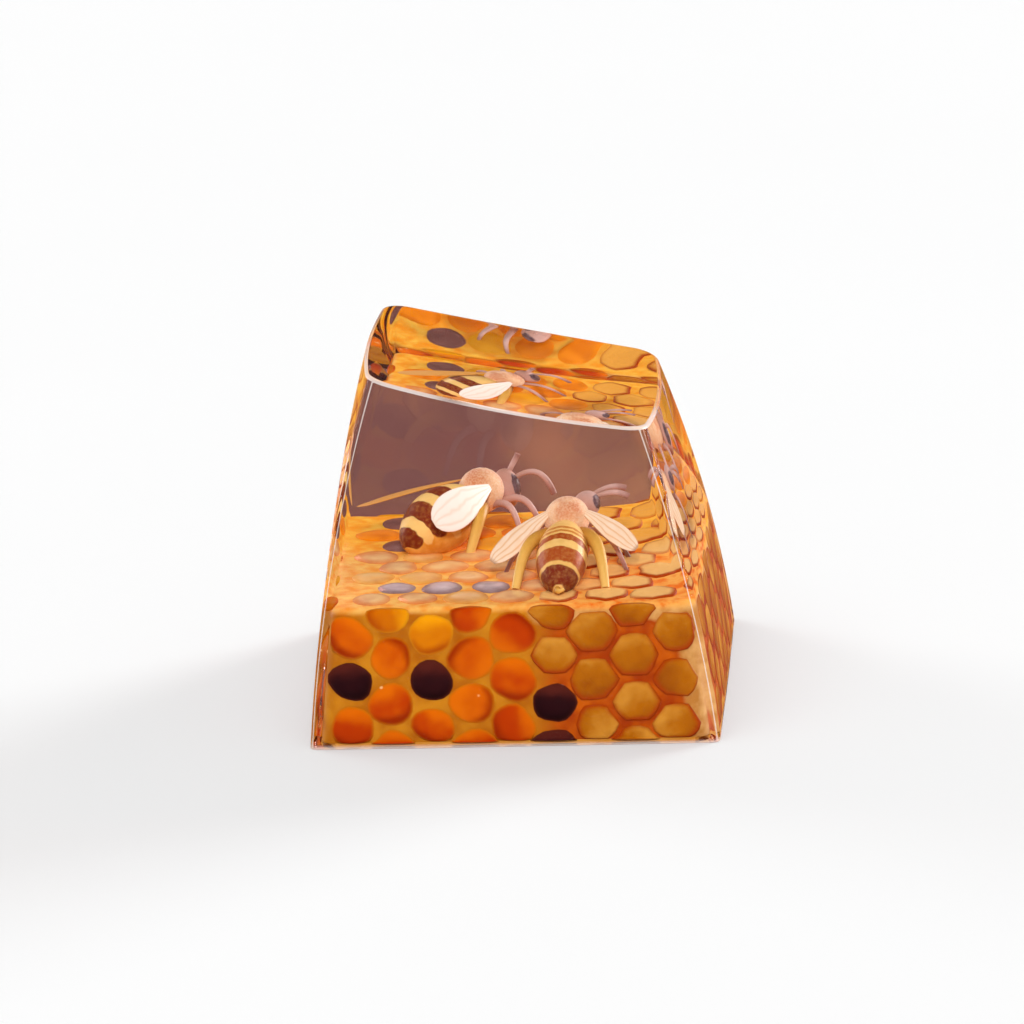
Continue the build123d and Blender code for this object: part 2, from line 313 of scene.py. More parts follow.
cap_shape, cap_bright = cap_skin()
clear_cap = make_piece("clear_resin_cap", cap_shape, clear_resin(), crease=35, bright=cap_bright)
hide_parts("clear_cap")


# Stem base: the last pour, amber resin that fills the back of the comb and closes the casting.
# Its hollow clears the switch, and the round post in the middle has the cross-shaped socket that grips it.

POUR_DEEP, POUR_PALE = srgb(214, 140, 44), srgb(232, 166, 70)


def poured_resin():
    """Resin as it was poured: slow clouds of two ambers and a dull, faintly uneven surface."""
    material, f = new_material("poured_resin")
    colour = f.noise(2.5, 3.0).step(0.3, 0.7).blend(POUR_DEEP, POUR_PALE)
    f.end(f.surface(Base_Color=colour, Roughness=f.noise(0.6, 2.0) * 0.2 + 0.35, Specular_IOR_Level=0.2,
                    Normal=f.bump(f.noise(0.9, 3.0), 0.02)))
    return material


stem_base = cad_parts["stem_base"]
stem_base.data.materials.clear()
stem_base.data.materials.append(poured_resin())


# Comb: a block of olive-amber wax with drafted sides, cast first, in which the cells sit.
# Its walls are smooth between the honey cells; towards the front they are deep orange ridges round the
# capped cells, and its front edges end in a rolled rind of pale wax.

COMB_FOOT, COMB_HEIGHT, COMB_DRAFT, COMB_CROWN = 8.7, 6.2, np.radians(6.0), 0.02
COMB_CORNER, COMB_EDGE, COMB_WALL, COMB_ROOF, FLANGE = 0.67, 0.45, 0.75, 1.0, 0.15
RIND_WIDTH, RIND_PEAK, RIND_FADE = 1.1, 1.25, 1.5
COMB_RINGS, EDGE_RINGS = 30, 7
LEAN = np.tan(COMB_DRAFT)


def comb_skin():
    """The skin of the block: a profile carried round rounded squares, down the inside of the wall from the
    ceiling, out along the foot, up the drafted outside, over a rounded edge, a quarter turn, and in to the
    middle."""
    inner = [(COMB_FOOT - COMB_WALL - LEAN * z, z) for z in (COMB_HEIGHT - COMB_ROOF, FLANGE)]
    z = np.linspace(FLANGE, COMB_HEIGHT - COMB_EDGE, COMB_RINGS)
    wall = np.stack([COMB_FOOT - LEAN * z, z], axis=-1)
    turn = np.linspace(COMB_DRAFT, np.pi / 2, EDGE_RINGS)[1:]
    round_x = wall[-1, 0] - COMB_EDGE * (np.cos(COMB_DRAFT) - np.cos(turn))
    edge = np.stack([round_x, COMB_HEIGHT + COMB_EDGE * (np.sin(turn) - 1)], axis=-1)
    top_x = np.linspace(edge[-1, 0], 0, COMB_RINGS, endpoint=False)[1:]
    top = np.stack([top_x, np.full_like(top_x, COMB_HEIGHT)], axis=-1)
    half, height = np.concatenate([inner, wall, edge, top]).T
    x, y = rounded_square(half, COMB_CROWN * half / COMB_FOOT, COMB_CORNER * half / COMB_FOOT)
    rings = np.stack([x, y, np.broadcast_to(height[:, None], x.shape)], axis=-1)
    return shell(rings, (0, 0, COMB_HEIGHT - COMB_ROOF), (0, 0, COMB_HEIGHT))


def comb_rind(points):
    """How near a point is to the block's upright corners at the front or its top edge there: 1 at the edge,
    falling to 0 with the distance, and fading out towards the back."""
    x, y, z = np.moveaxis(points, -1, 0)
    reach = COMB_FOOT - LEAN * z
    corner = (reach - np.abs(x)) + (reach + y)
    edge = (COMB_HEIGHT - z) + np.minimum(reach + y, reach - np.abs(x))
    near = np.clip(RIND_PEAK - np.minimum(corner, edge) / RIND_WIDTH, 0, 1)
    return near * np.clip(-y / RIND_FADE, 0, 1)


WALL_WAX, RIDGE_WAX = (srgb(176, 94, 4), srgb(208, 134, 24)), (srgb(162, 52, 0), srgb(202, 92, 4))
RIND_WAX, LEFT_TOP_SHEEN = (srgb(192, 126, 56), srgb(222, 166, 98)), (srgb(248, 150, 50), srgb(255, 198, 106))
FRONT_TOP_LIT, RIGHT_TOP_LIT = (srgb(244, 116, 22), srgb(255, 178, 84)), (srgb(248, 150, 28), srgb(255, 192, 72))


def comb_wax():
    """Wax with slow cloudy lumps, each part between two colours of its own: olive amber at the back, deep
    orange at the front, pale on the rind, and on the top painted lighter as if lit from above, with a
    painted peach sheen behind, orange in front, and golden to the right."""
    material, f = new_material("comb_wax")
    side, back, up = (f.along(axis) for axis in "XYZ")
    lumps, small = f.noise(1.1, 3.0), f.noise(0.7, 3.0)
    mottle = small.step(0.3, 0.7)
    front = ((lumps - 0.5) * 3 - back).step(0.6, 2.2)
    wall = front.blend(lumps.step(0.25, 0.75).blend(*WALL_WAX), lumps.step(0.3, 0.7).blend(*RIDGE_WAX))
    rind = (f.value("rind") + (f.noise(1.5, 1.0) - 0.5) * 0.7).step(0.35, 0.6)
    wall = rind.blend(wall, mottle.blend(*RIND_WAX))
    # Painted light: the top is lighter than the walls, as if lit from above, and its peach at the back left
    # is a painted sheen.
    top = front.blend(mottle.blend(*LEFT_TOP_SHEEN), small.step(0.35, 0.6).blend(*FRONT_TOP_LIT))
    right = (side + (lumps - 0.5) * 3).step(0.0, 3.0)
    top = right.blend(top, mottle.blend(*RIGHT_TOP_LIT))
    colour = up.step(COMB_HEIGHT - 0.35, COMB_HEIGHT - 0.02).blend(wall, top)
    f.end(f.surface(Base_Color=colour, Roughness=lumps * 0.2 + 0.4, Specular_IOR_Level=0.12,
                    Normal=f.bump(f.noise(0.5, 3.0), 0.05)))
    return material


comb_shape = comb_skin()
comb = make_piece("comb_block", comb_shape, comb_wax(), crease=60, rind=comb_rind(comb_shape[0]))
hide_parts("comb")


# Cells: drops of coloured resin and wax set in the comb in columns, every other column half a cell on.
# Orange honey, a few of golden pollen, a few nearly black, and at the front pale caps of wax, all pressed in
# by hand, so no two are quite alike.

CELL_PITCH, CELL_HALF, COLUMN_STEP, CELL_LOW = 2.1017, 0.881, 1.8201, 0.811
CELL_SIDES, CELL_WIDE, CELL_HIGH, TOP_ROWS_BEFORE = 18, 1.06, 0.98, 3
SIZE_RANGE, NUDGE, EDGE_GAP = (0.94, 1.08), 0.5, 0.1
FOOT_CUT, TOP_CUT = 8, 5
FRONT_PLAN = ("ccc", "cccc") * 4
RIGHT_PLAN = ("ccc", "cccc", "ccc", "hdch", "hhh", "hhph", "hdh", "phhp", "hdh")
BACK_PLAN = ("dhh", "hhph", "hdh", "phhh", "hhh", "hhdp", "hph", "hhhh")
LEFT_PLAN = ("hdh", "hhhp", "hdp", "hhhh", "hhh", "ddcc", "ccc", "cccc", "ccc")
TOP_PLAN = ("ccchphh", "cchddd", "ccchhpp", "cchhhh", "ccchhph", "cchphd", "ccchhhh", "cchhpd")
handmade = np.random.default_rng(11)


def plan_cells(plan, start):
    """Centres of the cells of one face, column by column from the plan's words, with the letter of each."""
    centres = [((column - (len(plan) - 1) / 2) * COLUMN_STEP, start(column) + row * CELL_PITCH, letter)
               for column, word in enumerate(plan) for row, letter in enumerate(word)]
    x, y, letters = zip(*centres)
    return np.stack([x, y], axis=-1), np.array(letters)


def all_cells():
    """For every cell of the block: its centre, the across, up and out directions of its face, a quarter turn
    from face to face, and its letter."""
    found = []
    for turn, plan in enumerate((FRONT_PLAN, RIGHT_PLAN, BACK_PLAN, LEFT_PLAN)):
        centres, letters = plan_cells(plan, lambda column: CELL_LOW - column % 2 * CELL_PITCH / 2)
        spin = np.array(Matrix.Rotation(np.radians(90 * turn), 3, "Z"))
        axes = np.array([[1, 0, 0], [0, np.sin(COMB_DRAFT), np.cos(COMB_DRAFT)],
                         [0, -np.cos(COMB_DRAFT), np.sin(COMB_DRAFT)]]) @ spin.T
        middle = spin @ np.array([0, -COMB_FOOT, 0]) + centres @ axes[:2]
        found.append((middle, np.broadcast_to(axes, (len(middle), 3, 3)), letters))
    centres, letters = plan_cells(TOP_PLAN, lambda column: (column % 2 / 2 - TOP_ROWS_BEFORE) * CELL_PITCH)
    middle = np.column_stack([centres, np.full(len(centres), COMB_HEIGHT)])
    found.append((middle, np.broadcast_to(np.eye(3), (len(middle), 3, 3)), letters))
    return [np.concatenate(part) for part in zip(*found)]


def stacked(skins):
    """Several skins as one: their points in a row, and their faces numbered on."""
    starts = np.cumsum([0] + [len(points) for points, _ in skins])
    blocks = [block + start for (_, own), start in zip(skins, starts) for block in own]
    return np.vstack([points for points, _ in skins]), blocks


def cell_drops(middle, axes, profile, width, waver, hexness):
    """Drops at the middles: each a profile of share of radius and height, turned about the out direction,
    with a radius that wavers round it in two, three and five lobes and is drawn to a hexagon by its
    hexness, softly cut off at the foot and top of the block and clipped at its upright edges.
    Gives the skin, and per point the drop's own shade, its share of radius, how far it is on the side
    of its painted light and whether the drop faces up."""
    count = len(middle)
    angle = np.linspace(0, 2 * np.pi, CELL_SIDES, endpoint=False)
    orders, weights = np.array([[2], [3], [5]]), np.array([[1.0], [0.6], [0.4]])
    strength, phase = handmade.uniform(-1, 1, (2, count, 3, 1))
    lobes = (weights * strength * np.cos(orders * angle + phase * np.pi)).sum(1)
    radius = 1 + hexness * np.cos(6 * angle) + waver * lobes
    radius *= CELL_HALF * width * handmade.uniform(*SIZE_RANGE, (count, 1))
    nudge = handmade.uniform(-NUDGE, NUDGE, (count, 2)) * waver
    share, height = np.array(profile).T
    flat = radius[:, None, :] * share[:, None]
    x = flat * CELL_WIDE * np.cos(angle) + nudge[:, :1, None]
    y = flat * CELL_HIGH * np.sin(angle) + nudge[:, 1:, None]
    local = np.stack([x, y, np.broadcast_to(height[:, None], flat.shape)], axis=-1)
    rings = middle[:, None, None] + np.einsum("nrci,nij->nrcj", local, axes)
    upward = axes[:, 2, 2] > 0.5
    z = FLANGE + np.logaddexp(0, (rings[~upward, ..., 2] - FLANGE) * FOOT_CUT) / FOOT_CUT
    rings[~upward, ..., 2] = COMB_HEIGHT - np.logaddexp(0, (COMB_HEIGHT - z) * TOP_CUT) / TOP_CUT
    across = np.einsum("nrcj,nj->nrc", rings, axes[:, 0])
    limit = COMB_FOOT - LEAN * rings[..., 2] - EDGE_GAP
    rings -= (across - np.clip(across, -limit, limit))[..., None] * axes[:, None, None, 0]
    skin = stacked([shell(ring, ring[0].mean(0), ring[-1].mean(0)) for ring in rings])
    # Each drop's painted light comes from a direction of its own, mostly from above.
    light = handmade.normal(np.pi / 2, 1.0, (count, 1, 1))
    lit = (np.cos(angle - light) * share[:, None]).reshape(count, -1)
    lit = np.column_stack([lit, np.zeros((count, 2))]).ravel()
    rim = np.append(np.repeat(share, CELL_SIDES), [0, 0])
    shade = np.repeat(handmade.uniform(0, 1, count), len(rim))
    return skin, dict(shade=shade, rim=np.tile(rim, count), lit=lit, top=np.repeat(upward, len(rim)))


DROP = ((0.75, -0.30), (0.98, -0.05), (1.0, 0.02), (0.9, 0.065), (0.62, 0.10), (0.25, 0.115))
CAP = ((0.75, -0.30), (0.99, -0.05), (0.98, 0.06), (0.88, 0.09), (0.55, 0.07), (0.2, 0.055))


def honey_resin(name, dark, plain, bright, rim_shade_colour, halo, sheen, painted_glow, pale):
    """A translucent drop: each its own shade from dark to bright, painted lighter on its light side and with
    a painted shade round the rim on the other, a halo where it fades into the wax and tiny bubbles here and
    there, shown as painted glints. Those on the top of the comb have a glossy coat, a painted pale sheen
    and, to the right, painted light of its own colour."""
    material, f = new_material(name)
    shade = f.value("shade") * 0.8 + 0.1 + (f.noise(0.7, 3.0) - 0.5) * 0.5
    colour = shade.ramp((0.0, dark), (0.5, plain), (1.0, bright))
    lit, rim = f.value("lit") + (f.noise(0.9, 2.0) - 0.5) * 0.9, f.value("rim")
    # Painted light on each drop's light side, and painted shade round the rim opposite it.
    colour = (lit.step(0.0, 0.85) * 0.75).blend(colour, bright)
    colour = ((rim - lit).step(0.75, 1.7) * 0.9).blend(colour, rim_shade_colour)
    colour = (rim.step(0.84, 1.0) * (1 - f.value("top")) * 0.8).blend(colour, halo)
    # Tiny bubbles shown as painted glints in the sheen colour.
    bubble_glint = f.add("TexVoronoi", {}, {"Vector": f.place(), "Scale": 1 / (1.1 * MM)})
    colour = ((1 - bubble_glint.step(0.04, 0.09)) * 0.6).blend(colour, sheen)
    # On the top drops: a real coat, and under it a painted sheen that turns into painted light towards the
    # right.
    wet_and_sheen = f.value("top") * (f.noise(0.9, 2.0).step(0.3, 0.7) * 0.4 + 0.6)
    top_sheen = (rim.step(0.45, 1.0) * 0.6).blend(sheen, bright)
    top_sheen = f.along("X").step(0.0, 3.0).blend(top_sheen, painted_glow)
    f.end(f.surface(Base_Color=(wet_and_sheen * pale).blend(colour, top_sheen), Roughness=f.noise(0.8, 2.0) * 0.15 + 0.4,
                    Specular_IOR_Level=0.05, Coat_Weight=wet_and_sheen * 0.6, Coat_Roughness=0.15,
                    Normal=f.bump(f.noise(0.4, 2.0), 0.012)))
    return material


CAP_DEEP, CAP_TAN, CAP_PALE = srgb(152, 74, 2), srgb(180, 102, 4), srgb(210, 142, 48)
CAP_RIM, CAP_LEFT_TOP_SHEEN, CAP_RIGHT_TOP_LIT = srgb(168, 60, 2), srgb(255, 200, 124), srgb(250, 176, 74)


def cap_wax():
    """Dull pale wax over a capped cell, folded a little, olive tan to pale tan and painted lighter on its
    light side, orange where it meets the ridge and a little wider on the other side as painted shade; on the
    top of the comb painted lighter as if lit from above, a painted peach sheen at the left, and golden to
    the right."""
    material, f = new_material("cap_wax")
    folds = f.noise(0.55, 4.0)
    lit = f.value("lit") + (f.noise(0.8, 2.0) - 0.5) * 0.8
    # Painted light: the wax is lighter on the cell's light side.
    shade = f.value("shade") * 0.3 + folds * 0.4 + lit * 0.25 + 0.15
    colour = shade.ramp((0.2, CAP_DEEP), (0.5, CAP_TAN), (0.8, CAP_PALE))
    # Painted light on the top: a peach sheen at the left, golden to the right.
    top_sheen = f.along("X").step(0.0, 3.0).blend(CAP_LEFT_TOP_SHEEN, CAP_RIGHT_TOP_LIT)
    colour = (f.value("top") * 0.8).blend(colour, top_sheen)
    # The orange rim is the ridge's own colour, and reaches a little further on the unlit side as painted
    # shade.
    rim = (f.value("rim") - lit * 0.12).step(0.7, 1.05)
    f.end(f.surface(Base_Color=rim.blend(colour, CAP_RIM), Roughness=folds * 0.2 + 0.4,
                    Specular_IOR_Level=0.1, Normal=f.bump(folds, 0.12)))
    return material


middle, axes, letters = all_cells()
# Painted sheen colours for the top drops; below, per kind: dark, plain and bright tones, the painted rim
# shade, the halo, the painted sheen, the painted light for the right of the top, and how pale the painted
# sheen makes a top drop.
PEACH_SHEEN, LILAC_SHEEN = srgb(255, 210, 146), srgb(230, 204, 210)
honey_drop = honey_resin("honey_drop", srgb(172, 44, 0), srgb(190, 60, 0), srgb(228, 112, 2),
                         srgb(150, 38, 0), srgb(194, 108, 10), PEACH_SHEEN, srgb(255, 148, 6), 0.9)
pollen_drop = honey_resin("pollen_drop", srgb(196, 92, 0), srgb(222, 128, 2), srgb(246, 166, 10),
                          srgb(176, 72, 0), srgb(206, 130, 20), PEACH_SHEEN, srgb(255, 184, 30), 0.8)
dark_drop = honey_resin("dark_drop", srgb(36, 8, 14), srgb(50, 14, 18), srgb(92, 34, 26), srgb(28, 5, 9),
                        srgb(84, 32, 16), LILAC_SHEEN, srgb(138, 90, 82), 0.9)
CELL_KINDS = (("h", "honey_cells", DROP, 1.08, 0.1, 0.0, honey_drop),
              ("p", "pollen_cells", DROP, 1.1, 0.1, 0.0, pollen_drop),
              ("d", "dark_cells", DROP, 1.02, 0.12, 0.0, dark_drop),
              ("c", "capped_cells", CAP, 1.08, 0.11, 0.055, cap_wax()))
for letter, node, profile, width, waver, hexness, material in CELL_KINDS:
    chosen = letters == letter
    skin, values = cell_drops(middle[chosen], axes[chosen], profile, width, waver, hexness)
    drops = make_piece(node.replace("cells", "drops"), skin, material, crease=70, **values)
    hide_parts(node)


# Bees: two small castings, painted by hand, set on the comb before the clear resin is poured.
# Each has a fuzzy thorax, a banded abdomen, a head with two feelers and six legs that stand on the comb;
# the wings are thin pearly plates.

EGG_TRIM, EGG_STEPS, EGG_SIDES = 0.004, 28, 28
LIMB_STEPS, LIMB_SIDES = 14, 10
HIP_OUT, HIP_HIGH, KNEE_LIFT, SHIN_START = 0.5, -0.6, 0.35, 0.4
HIP_SWELL, TOE_SWELL, FEELER_RADIUS, FEELER_SWELL = 1.2, 0.65, 0.12, (0.9, 1.1)
EYE_OUT, EYE_LONG, EYE_DEEP, EYE_HIGH = 0.9, 0.3, 0.55, 0.6
UPRIGHT = (0, 0, 1)


def bend(points, steps):
    """A smooth line for a few control points: the Bernstein sum of the points."""
    points = np.asarray(points, float)
    t = np.linspace(0, 1, steps)[:, None, None]
    level = np.broadcast_to(points, (steps, *points.shape))
    while level.shape[1] > 1:
        level = (1 - t) * level[:, :-1] + t * level[:, 1:]
    return level[:, 0]


def along_line(line, wide, thick, facing, sides):
    """A skin along a line: at each point an oval, wide across and thick along the facing direction.
    Gives the skin, and per point the share of the way along, and the place across and the height, both
    from -1 to 1."""
    line = np.asarray(line, float)
    steps = len(line)
    way = np.gradient(line, axis=0)
    way /= np.linalg.norm(way, axis=1, keepdims=True)
    across = np.cross(np.broadcast_to(np.asarray(facing, float), way.shape), way)
    across /= np.linalg.norm(across, axis=1, keepdims=True)
    up = np.cross(way, across)
    angle = np.linspace(0, 2 * np.pi, sides, endpoint=False)
    wide, thick = (np.broadcast_to(v, steps)[:, None, None] for v in (wide, thick))
    rings = line[:, None] + wide * np.cos(angle)[:, None] * across[:, None]
    rings = rings + thick * np.sin(angle)[:, None] * up[:, None]
    share = np.append(np.repeat(np.linspace(0, 1, steps), sides), [0, 1])
    place, high = (np.append(np.tile(wave, steps), [0, 0]) for wave in (np.cos(angle), np.sin(angle)))
    return shell(rings, line[0], line[-1]), dict(share=share, place=place, high=high)


def joined(parts):
    """Several skins with their values as one; a value that only the first skin has is 0 on the others."""
    values = {name: np.concatenate([own.get(name, np.zeros(len(skin[0]))) for skin, own in parts])
              for name in parts[0][1]}
    return stacked([skin for skin, _ in parts]), values


def egg(start, end, radius, facing, front=0.5, back=0.5):
    """A blunt or pointed egg from start to end: its radius is the sine of the way along, each half to a
    power of its own."""
    t = np.linspace(EGG_TRIM, 1 - EGG_TRIM, EGG_STEPS)
    swell = radius * np.sin(np.pi * t) ** np.where(t < 0.5, front, back)
    line = np.asarray(start) + t[:, None] * (np.asarray(end, float) - start)
    return along_line(line, swell, swell, facing, EGG_SIDES)


def place_bee(across, back, above, turn):
    """Takes a skin from the bee's own frame, head along x, to its place on the comb: shares of the half
    width of the comb's top, the height above it and the turn about the upright."""
    half = COMB_FOOT - LEAN * COMB_HEIGHT
    spin = np.array(Matrix.Rotation(np.radians(turn), 3, "Z"))

    def put(name, made, material):
        (points, blocks), values = made
        moved = points @ spin.T + (across * half, back * half, COMB_HEIGHT + above)
        return make_piece(name, (moved, blocks), material, **values)
    return put


def bee_limbs(pairs, ground):
    """Legs in pairs: a bent line from the hip under the thorax over a raised knee to a foot on the comb,
    thinning towards the foot."""
    limbs = []
    for hip_x, knee, foot, radius in pairs:
        for side in (1, -1):
            hip = np.array((hip_x, HIP_OUT * side, HIP_HIGH))
            bent = np.array((knee[0], knee[1] * side, knee[2] + KNEE_LIFT))
            toe = np.array((foot[0], foot[1] * side, -ground))
            line = bend([hip, bent, bent * (1 - SHIN_START) + toe * SHIN_START, toe], LIMB_STEPS)
            taper = radius * np.linspace(HIP_SWELL, TOE_SWELL, LIMB_STEPS)
            limbs.append(along_line(line, taper, taper, (1, 0.2, 0), LIMB_SIDES))
    return limbs


def bee_feelers(lines):
    """Feelers: a smooth round rod for each few points, a little thicker at the tip."""
    swell = FEELER_RADIUS * np.linspace(*FEELER_SWELL, LIMB_STEPS)
    return [along_line(bend(line, LIMB_STEPS), swell, swell, (0.3, 0.2, 1), LIMB_SIDES) for line in lines]


def bee_head(start, end, radius, facing, along, up):
    """A head: an egg with an oval eye on each side, so far along it and so high. Gives per point how near it
    is to the middle of an eye, 1 there and 0 at the eye's edge and beyond."""
    skin, values = egg(start, end, radius, facing)
    apart = np.hypot((values["share"] - along) / EYE_LONG, (np.abs(values["place"]) - EYE_OUT) / EYE_DEEP)
    values["eye"] = np.clip(1 - np.hypot(apart, (values["high"] - up) / EYE_HIGH), 0, 1)
    return skin, values


def banded_paint(name, ground, bands, lean):
    """Hand-painted bands on an abdomen: a ground of two mottled colours, and over it bands of a colour, a
    place along the body, a half width and a lower limit, where a band ends in a round lobe. The limit is
    measured by height and, times the lean, by the place across."""
    material, f = new_material(name)
    mottle, brush = f.noise(0.6, 3.0), f.noise(0.2, 4.0)
    share = f.value("share") + (f.noise(0.5, 2.0) - 0.5) * 0.05
    high = f.value("high") + f.value("place") * lean + (mottle - 0.5) * 0.5
    colour = mottle.step(0.3, 0.7).blend(*ground)
    for paint, place, half, low in bands:
        along, past = (share - place) * (1 / half), (low - high).most(0) * 1.6
        inner = (1 - along * along - past * past).step(-0.1, 0.25)
        colour = (inner * (brush.step(0.25, 0.6) * 0.2 + 0.8)).blend(colour, paint)
    f.end(f.surface(Base_Color=colour, Roughness=brush * 0.2 + 0.25, Specular_IOR_Level=0.25,
                    Normal=f.bump(f.noise(0.25, 3.0), 0.02)))
    return material


EYE_DARK, EYE_SLATE = srgb(86, 60, 64), srgb(120, 94, 100)


def limb_paint(name, first, place, second, third):
    """Paint that goes along a limb from a first colour to a second at the place given and on to a third,
    with a faintly brushed surface, and a slate-coloured eye on a head."""
    material, f = new_material(name)
    brush = f.noise(0.25, 3.0)
    colour = (f.value("share") + (brush - 0.5) * 0.3).ramp((0.0, first), (place, second), (1.0, third))
    eye = f.value("eye").step(0.0, 0.12)
    colour = eye.blend(colour, brush.step(0.3, 0.7).blend(EYE_DARK, EYE_SLATE))
    f.end(f.surface(Base_Color=colour, Roughness=brush * 0.2 + 0.35 - eye * 0.2, Specular_IOR_Level=0.25,
                    Normal=f.bump(brush, 0.02)))
    return material


FUZZ_PEACH, FUZZ_BROWN, FUZZ_TIP = srgb(245, 190, 144), srgb(214, 124, 74), srgb(254, 222, 190)


def thorax_fuzz():
    """Short peach fuzz: fine noise in colour and height, paler on the tips, browner on the crown."""
    material, f = new_material("thorax_fuzz")
    fuzz, patch = f.noise(0.09, 4.0), f.noise(0.8, 2.0)
    crown = (f.value("high") + (patch - 0.5) * 2.0).step(0.4, 1.2)
    colour = (fuzz.step(0.35, 0.7) * 0.4).blend(crown.blend(FUZZ_PEACH, FUZZ_BROWN), FUZZ_TIP)
    f.end(f.surface(Base_Color=colour, Roughness=fuzz * 0.2 + 0.6, Sheen_Weight=0.3,
                    Normal=f.bump(fuzz, 0.06)))
    return material


PEARL_LIGHT, WING_GOLD = (1.0, 0.93, 0.88, 1), srgb(226, 158, 78)


def wing_pearl(name, light, vein_colour, edge_colour):
    """A pearly plate: veins fanning from the root, the waves of a sine across it, an edge of its own colour
    and a soft shine; gold where the mesh says so."""
    material, f = new_material(name)
    share, across = f.value("share"), f.value("place")
    fan = f.math("SINE", across * 6.0 + (f.noise(1.4, 2.0) - 0.5) * 5.0, 0)
    vein = f.math("ABSOLUTE", fan, 0).step(0.0, 0.8)
    edge = (across * across).step(0.86, 1.0).most(share.step(0.94, 1.0)) * 0.6
    colour = vein.blend(vein_colour, (f.noise(0.5, 2.0) * 0.5).blend(light, PEARL_LIGHT))
    colour = f.value("gold").blend(edge.blend(colour, edge_colour), WING_GOLD)
    f.end(f.surface(Base_Color=colour, Roughness=f.noise(0.3, 2.0) * 0.2 + 0.25,
                    Specular_IOR_Level=0.3, Normal=f.bump(vein, 0.008)))
    return material


CREAM, TAN, BROWN, DARK = srgb(243, 196, 118), srgb(202, 122, 46), srgb(164, 70, 18), srgb(118, 38, 12)
fuzz = thorax_fuzz()
mauve = limb_paint("mauve_paint", srgb(184, 134, 118), 0.6, srgb(208, 166, 158), srgb(156, 106, 96))
amber = limb_paint("amber_paint", srgb(170, 106, 32), 0.5, srgb(218, 162, 70), srgb(238, 192, 106))


# Resting bee: lies across the back corner with its head to the front, its near wing folded over its side.
# The abdomen is clear amber with dark bands that break into round spots, and the far wing is tinted gold.

RESTING_ACROSS, RESTING_BACK, RESTING_HEIGHT, RESTING_TURN = 0.547, 0.224, 1.95, -42
RESTING_LENGTH, RESTING_DROOP = 4.3, np.radians(17)
resting = place_bee(RESTING_ACROSS, RESTING_BACK, RESTING_HEIGHT, RESTING_TURN)
tail = (-0.7 - RESTING_LENGTH * np.cos(RESTING_DROOP), 0, -0.2 - RESTING_LENGTH * np.sin(RESTING_DROOP))
resting_paint = banded_paint("resting_bands", (srgb(222, 146, 50), srgb(240, 178, 88)), (
    (CREAM, 0.18, 0.16, 0.1), (DARK, 0.42, 0.1, 0.2), (CREAM, 0.57, 0.07, -0.2), (DARK, 0.73, 0.1, 0.1),
    (CREAM, 0.86, 0.05, -0.1), (DARK, 0.96, 0.06, -0.1)), -0.5)
abdomen = resting("resting_bee_abdomen", egg((-0.4, 0, -0.1), tail, 1.4, UPRIGHT, 0.5, 0.55), resting_paint)
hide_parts("resting_bee")
resting("resting_bee_thorax", egg((-1.05, 0, 0.05), (1.05, 0, -0.05), 1.0, UPRIGHT), fuzz)
feelers = bee_feelers([[(1.6, 0.1, 0.2), (1.8, -0.08, 0.7), (2.0, -0.25, 1.2)],
                       [(1.75, -0.15, 0.1), (2.35, -0.7, 0.7), (2.75, -1.1, 0.4), (3.0, -1.4, -0.65)]])
head = bee_head((1.3, 0, 0.65), (1.75, 0, -1.15), 0.62, (1, 0, 0), 0.4, 0.4)
legs = bee_limbs([(0.6, (1.2, 1.5, -0.3), (1.7, 2.1), 0.15), (0.0, (0.1, 1.8, -0.3), (0.0, 2.5), 0.15)],
                 RESTING_HEIGHT)
resting("resting_bee_head_and_legs", joined([head, *feelers, *legs]), mauve)
hind_legs = bee_limbs([(-0.5, (-1.6, 1.7, -0.4), (-2.7, 1.9), 0.3)], RESTING_HEIGHT)
resting("resting_bee_hind_legs", joined(hind_legs), amber)

WING_STEPS, WING_SIDES, WING_TRIM, WING_THICK = 26, 24, 0.01, 0.07
ROOT_WIDTH, ROOT_SHARE, SWELL_POWER, WING_SAG = 0.16, 0.12, 0.8, -0.1


def wing_skin(root, tip, facing, width):
    """A leaf plate from root to tip: its width is the root of a sine of the way along, fuller towards the
    tip, and its middle line sags, or arches, by half a sine wave."""
    root, tip, facing = (np.asarray(v, float) for v in (root, tip, facing))
    t = np.linspace(WING_TRIM, 1 - WING_TRIM, WING_STEPS)
    run = tip - root
    facing = facing - run * (facing @ run) / (run @ run)
    facing /= np.linalg.norm(facing)
    line = root + t[:, None] * run - WING_SAG * np.sin(np.pi * t)[:, None] * facing
    fuller = ROOT_WIDTH + (1 - ROOT_WIDTH) * t**SWELL_POWER
    wide = width * fuller * np.sqrt(np.sin(np.pi * (ROOT_SHARE + (1 - ROOT_SHARE) * t)))
    return along_line(line, wide, WING_THICK * np.sqrt(np.sin(np.pi * t)), facing, WING_SIDES)


white_pearl = wing_pearl("white_pearl_wing", srgb(255, 238, 228), srgb(251, 224, 209), srgb(250, 226, 212))
near_wing = wing_skin((-0.3, -0.9, 0.4), (-4.6, -1.6, -0.2), (0, -0.85, 0.5), 1.25)
far_skin, far_values = wing_skin((-0.3, 0.6, 0.5), (-5.0, 2.6, -0.1), (0, 0.2, 1), 0.75)
far_values["gold"] = np.ones(len(far_skin[0]))
wings = resting("resting_bee_pearl_wings", joined([(far_skin, far_values), near_wing]), white_pearl)
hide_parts("resting_bee_wings")


# Standing bee: stands at the near side with its tail to the left wall, wings spread and drooping.
# Its abdomen has cream and brown bands down to a red-brown tip with a small curled sting.

